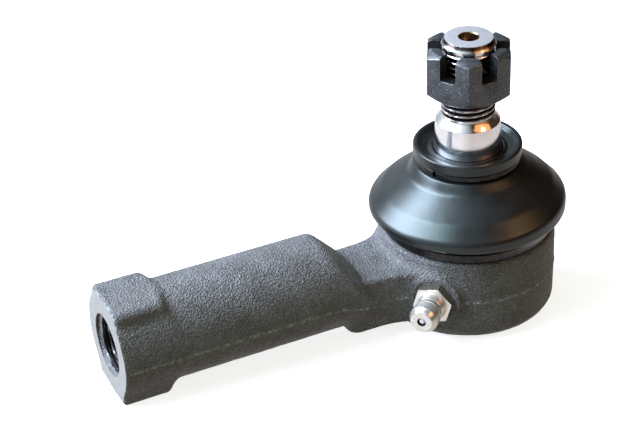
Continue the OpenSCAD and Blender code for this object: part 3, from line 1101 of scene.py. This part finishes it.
def polished_steel():
    """Ground taper: fine rings about the stud's axis and faint stains."""
    s = Shader("polished_steel", metallic=1.0)
    rings = s.noise(0.08, 2, 0.5, s.stretched(0.02))
    s.colour(s.spread(s.noise(4, 3, 0.6), (0.84, 0.83, 0.84), (0.94, 0.93, 0.94)))
    s.roughness(s.spread(s.noise(0.9, 3, 0.6), 0.1, 0.2, 0.75))
    s.bump(rings, 0.004)
    return s.material


def threaded_steel():
    """Rolled thread: bright crests and painted shade in the roots."""
    s = Shader("threaded_steel", metallic=1.0)
    crest = s.spread(s.noise(2.5, 3), (0.66, 0.65, 0.65), (0.84, 0.83, 0.83))
    # painted shade: darker towards the thread's roots
    root = s.ramp(s.attribute("root"), (0.1, 0.0), (0.5, 1.0))
    s.colour(s.mix(root, crest, (0.05, 0.04, 0.036)))
    s.roughness(s.spread(s.noise(0.9, 3, 0.6), 0.14, 0.26, 0.75))
    s.bump(s.noise(0.3, 2), 0.004)
    return s.material


def phosphated_steel():
    """Dark grey phosphate with a fine crystalline speckle."""
    s = Shader("phosphated_steel", metallic=0.7)
    speck = s.noise(0.42, 4, 0.7)
    patches = s.noise(3.5, 3)
    base = s.spread(patches, (0.07, 0.074, 0.078), (0.12, 0.125, 0.13))
    s.colour(s.mix(s.ramp(speck, (0.55, 0.0), (0.7, 0.9)), base, (0.34, 0.35, 0.36)))
    s.roughness(s.spread(speck, 0.34, 0.5))
    s.bump(speck, 0.02)
    s.bump(s.noise(1.6, 2), 0.03)
    return s.material


def painted_shade():
    """Painted shade, near black, for the nut's slots and bore, the fitting's tip hole and the check
    ball's rim.
    """
    s = Shader("painted_shade", specular=0.2)
    s.colour(s.spread(s.noise(0.8, 3), 0.006, 0.03, 0.75))
    s.roughness(s.spread(s.noise(0.5, 2), 0.4, 0.6))
    return s.material


def worn_edge_steel():
    """Rubbed edges of the nut, bright in patches."""
    s = Shader("worn_edge_steel", metallic=0.9)
    worn = s.ramp(s.noise(0.7, 4, 0.7), (0.5, 0.0), (0.66, 1.0))
    s.colour(s.mix(worn, (0.1, 0.104, 0.108), (0.42, 0.43, 0.44)))
    s.roughness(s.spread(s.noise(0.4, 2), 0.28, 0.42))
    return s.material


def boot_rubber():
    """Moulded black rubber: fine grain, with duller and glossier areas."""
    s = Shader("boot_rubber", specular=0.7)
    s.bsdf.inputs["Specular Tint"].default_value = (0.86, 1.0, 0.95, 1)
    film = s.noise(7, 4, 0.6)
    s.colour(s.spread(film, (0.005, 0.0055, 0.006), (0.013, 0.014, 0.015), 0.75))
    s.roughness(s.spread(film, 0.27, 0.37))
    s.bump(s.noise(0.22, 3, 0.6), 0.012)
    s.bump(s.noise(1.8, 2), 0.015)
    return s.material


def band_steel(name, dark, light):
    """Rolled steel with fine marks round it, lighter where the piece stores a value for it, which
    on the base ring is a painted highlight.
    """
    s = Shader(name, metallic=1.0)
    base = s.spread(s.noise(1.5, 4, 0.6), dark, light)
    s.colour(s.mix(s.attribute("wear_and_glint"), base, (0.8, 0.79, 0.77)))
    s.roughness(s.spread(s.noise(0.6, 3), 0.28, 0.45))
    s.bump(s.noise(0.12, 2, 0.5, s.stretched(0.05)), 0.006)
    return s.material


def blotched(name, metallic, patches, colours, sheen, roughness, grain, depth):
    """Material whose colour and roughness wander between two values, with a fine relief.

    patches, sheen and grain are noises: size in millimetres, detail and, if given, roughness.
    """
    s = Shader(name, metallic)
    s.colour(s.spread(s.noise(*patches), *colours))
    s.roughness(s.spread(s.noise(*sheen), *roughness))
    s.bump(s.noise(*grain), depth)
    return s.material


def machined_steel():
    """The wrench end's faced front and the can's turned faces."""
    return blotched(
        "machined_steel", 0.5, (1.6, 4, 0.6), ((0.34, 0.34, 0.315), (0.45, 0.45, 0.415)),
        (0.5, 3), (0.36, 0.52), (0.2, 3, 0.6), 0.012)


def plated_steel():
    """Nickel-like plate, dulled, with tiny pits and a faint yellow stain."""
    return blotched(
        "plated_steel", 0.72, (1.4, 4, 0.6), ((0.82, 0.77, 0.67), (0.92, 0.89, 0.83)),
        (0.5, 3), (0.2, 0.28, 0.75), (0.4, 2, 0.5), 0.006)


def dull_plate_and_shade():
    """The fitting hexagon's flats, where the plate has gone dull; also painted shade in the waist
    groove.
    """
    return blotched(
        "dull_plate_and_shade", 0.8, (0.8, 4, 0.6), ((0.17, 0.16, 0.11), (0.3, 0.29, 0.22)),
        (0.5, 3), (0.25, 0.4, 0.75), (0.25, 3, 0.6), 0.01)


def ball_steel():
    """The check ball's satin face."""
    return blotched(
        "ball_steel", 0.9, (0.5, 3), ((0.9, 0.9, 0.92), (0.97, 0.97, 0.98)),
        (0.3, 2), (0.45, 0.55), (0.15, 2), 0.003)


def faced_steel():
    """The stud's faced end, light grey with a fine grain."""
    return blotched(
        "faced_steel", 0.6, (1.2, 4, 0.6), ((0.6, 0.59, 0.6), (0.76, 0.75, 0.76)),
        (0.5, 3), (0.32, 0.46), (0.2, 3, 0.6), 0.01)


def drilled_steel():
    """Inside of the stud's centre hole, browned."""
    return blotched(
        "drilled_steel", 1.0, (0.8, 3), ((0.2, 0.12, 0.07), (0.42, 0.28, 0.18)),
        (0.5, 2), (0.2, 0.35), (0.3, 2), 0.01)


def seat_plastic():
    """Moulded acetal, slightly glossier in places."""
    return blotched(
        "seat_plastic", 0.0, (3, 3), ((0.7, 0.66, 0.56), (0.8, 0.77, 0.68)),
        (0.6, 3), (0.35, 0.5), (0.3, 3), 0.01)


def floor_paint():
    """Pale studio floor that glows a little, like a photographer's light table."""
    s = Shader("floor_paint", specular=0.0)
    s.bsdf.inputs["Emission Color"].default_value = (1, 1, 1, 1)
    s.bsdf.inputs["Emission Strength"].default_value = 0.78
    s.colour(s.spread(s.noise(90, 3), 0.9, 0.93))
    s.roughness(s.spread(s.noise(30, 3), 0.7, 0.8))
    return s.material


# ---- assembly

def place_piece(piece, body, node, slot, *materials):
    """Rides a piece on its body, in place of a CAD node."""
    if materials:
        paint(piece, *materials)
    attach(piece, body)
    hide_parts(node)
    return piece


def build():
    oiled = band_steel("ring_steel", (0.03, 0.029, 0.029), (0.06, 0.058, 0.057))
    spring = band_steel("spring_steel", (0.4, 0.4, 0.41), (0.62, 0.62, 0.63))
    cover = band_steel("cover_steel", (0.1, 0.1, 0.105), (0.2, 0.2, 0.205))
    # dark is painted shade for the nut's slots and bore, the fitting's tip hole and the check
    # ball's rim
    plastic, plate, dark = seat_plastic(), plated_steel(), painted_shade()

    place_piece(housing_piece(), "socket", "housing", "forged_steel")
    place_piece(seat_piece("upper_bearing", UPPER_SEAT_LOW[2], UPPER_SEAT_HIGH[2], 0),
                "socket", "upper_seat", "bearing_plastic", plastic)
    place_piece(seat_piece("lower_bearing", LOWER_SEAT_LOW[2], LOWER_SEAT_HIGH[2], 6),
                "socket", "lower_seat", "bearing_plastic", plastic)
    place_piece(preload_spring_piece(), "socket", "preload_spring", "spring_steel", spring)
    place_piece(cover_piece(), "socket", "end_cover", "cover_steel", cover)
    place_piece(base_ring_piece(), "socket", "boot_base_ring", "ring_steel", oiled)
    place_piece(fitting_piece(plate, dark), "socket", "grease_fitting", "plated_steel")
    place_piece(washer_piece(), "socket", "spring_washer", "plated_steel", plate)
    coil = place_piece(check_spring_piece(), "socket", "check_spring", "spring_steel", spring)
    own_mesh(coil)
    place_piece(ball_piece(ball_steel(), dark), "valve_ball", "check_ball", "spring_steel")
    place_piece(stud_piece(), "stud", "ball_stud", "polished_steel")
    place_piece(nut_piece(dark), "nut", "castle_nut", "phosphated_nut")
    place_piece(neck_ring_piece(), "boot_collar", "boot_neck_ring", "ring_steel", oiled)

    boot = boot_piece()
    paint(boot, boot_rubber())
    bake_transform(boot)
    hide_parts("dust_boot")


# ---- camera, floor and light

AZIMUTH, ELEVATION, ROLL = radians(-24.71), radians(31.76), radians(-2.30)
DISTANCE = 386.4  # from the camera to the stud's foot, along the view
ASIDE, BELOW = 33.24, -5.44  # how far the stud's foot is off the picture's centre
SENSOR = 36.0
FOCAL_LENGTH = 95.625


def add_camera():
    back = Vector((sin(AZIMUTH) * cos(ELEVATION), -cos(AZIMUTH) * cos(ELEVATION), sin(ELEVATION)))
    right = Vector((0, 0, 1)).cross(back).normalized()
    up = back.cross(right)
    right, up = (cos(ROLL) * right + sin(ROLL) * up, -sin(ROLL) * right + cos(ROLL) * up)
    at = Vector((STUD_X, 0, 0)) - ASIDE * right - BELOW * up + DISTANCE * back
    data = bpy.data.cameras.new("camera")
    data.sensor_width = SENSOR
    data.lens = FOCAL_LENGTH
    data.clip_start, data.clip_end = 0.01, 20
    camera = add_object("camera", data)
    turn = Matrix((right, up, back)).transposed().to_4x4()
    camera.matrix_world = Matrix.Translation(at * MM) @ turn
    bpy.context.scene.camera = camera


def add_floor():
    """The part lies on its can's lower rim and on the wrench end, and the floor tilts to them."""
    rim_x = STUD_X - CAN_R + 2.4
    slope = (CAN_BOTTOM + FLAT_Z) / rim_x
    middle_x = 60.0
    middle_z = CAN_BOTTOM + slope * (middle_x - rim_x) - 0.05
    size = 4.0
    mesh = bpy.data.meshes.new("floor")
    mesh.from_pydata([(-size, -size, 0), (size, -size, 0), (size, size, 0), (-size, size, 0)],
                     [], [(0, 1, 2, 3)])
    floor = add_object("floor", mesh)
    floor.matrix_world = (Matrix.Translation((middle_x * MM, 0, middle_z * MM))
                          @ Matrix.Rotation(-atan2(slope, 1), 4, "Y"))
    mesh.materials.append(floor_paint())
    floor.visible_diffuse = False
    floor.visible_glossy = False


def add_softbox(name, direction, distance, size, radiance, colour):
    """Rectangular light that looks at the part from a direction."""
    aim = Vector((0.06, 0, 0.01))
    data = bpy.data.lights.new(name, "AREA")
    data.shape = "RECTANGLE"
    data.size, data.size_y = size
    data.energy = radiance * pi * size[0] * size[1]
    data.color = colour
    lamp = add_object(name, data)
    lamp.location = aim + Vector(direction).normalized() * distance
    lamp.rotation_euler = (aim - lamp.location).to_track_quat("-Z", "Y").to_euler()
    return lamp


LEFT = (-0.89, 0.45, 0.1)  # side of the room that the window is on


def add_room():
    """Dim room, cool towards the window and warm away from it; only mirrors see its pale floor."""
    world = bpy.data.worlds.new("studio")
    world.use_nodes = True
    tree = world.node_tree
    way = tree.nodes.new("ShaderNodeTexCoord").outputs["Generated"]

    def blend(share, a, b):
        return mix_colours(tree, share, a, b)

    def towards(direction, low, high):
        dot = add_node(tree, "ShaderNodeVectorMath", operation="DOT_PRODUCT")
        tree.links.new(way, dot.inputs[0])
        dot.inputs[1].default_value = Vector(direction).normalized()
        spread = add_node(tree, "ShaderNodeMapRange", **{"From Min": low, "From Max": high})
        tree.links.new(dot.outputs["Value"], spread.inputs["Value"])
        return spread.outputs[0]

    window = towards(LEFT, -0.15, 0.4)
    pane = blend(towards((0, 0, 1), 0.1, 0.45), (0.5, 0.55, 0.6), (0.86, 0.96, 1.06))
    upper = blend(window, (0.05, 0.034, 0.022), pane)
    lower = blend(window, (0.7, 0.64, 0.63), (0.98, 0.98, 1.02))
    mirrored = blend(towards((0, 0, -1), 0.0, 0.3), upper, lower)
    lit = blend(window, (0.172, 0.172, 0.102), (0.29, 0.31, 0.34))
    soft = tree.nodes.new("ShaderNodeLightPath").outputs["Is Diffuse Ray"]
    background = tree.nodes["Background"]
    tree.links.new(blend(soft, mirrored, lit), background.inputs["Color"])
    bpy.context.scene.world = world


def add_light():
    add_room()
    add_softbox("window", (-0.66, 0.42, 0.64), 0.65, (0.45, 0.45), 16.6, (0.84, 0.95, 1.22))
    add_softbox("side_window", (-0.6, -0.06, 0.8), 0.65, (0.24, 0.24), 7.4, (0.72, 0.95, 1.14))
    card = add_softbox("warm_card", (0.43, -0.69, 0.57), 0.6, (0.56, 0.3), 1.3, (1.0, 0.4, 0.13))
    card.visible_diffuse = False
    add_softbox("warm_lamp", (0.45, -0.65, 0.6), 0.55, (0.11, 0.12), 2.6, (1.0, 0.74, 0.48))


add_camera()
add_floor()
add_light()
bpy.context.scene.view_settings.view_transform = "Standard"
build()
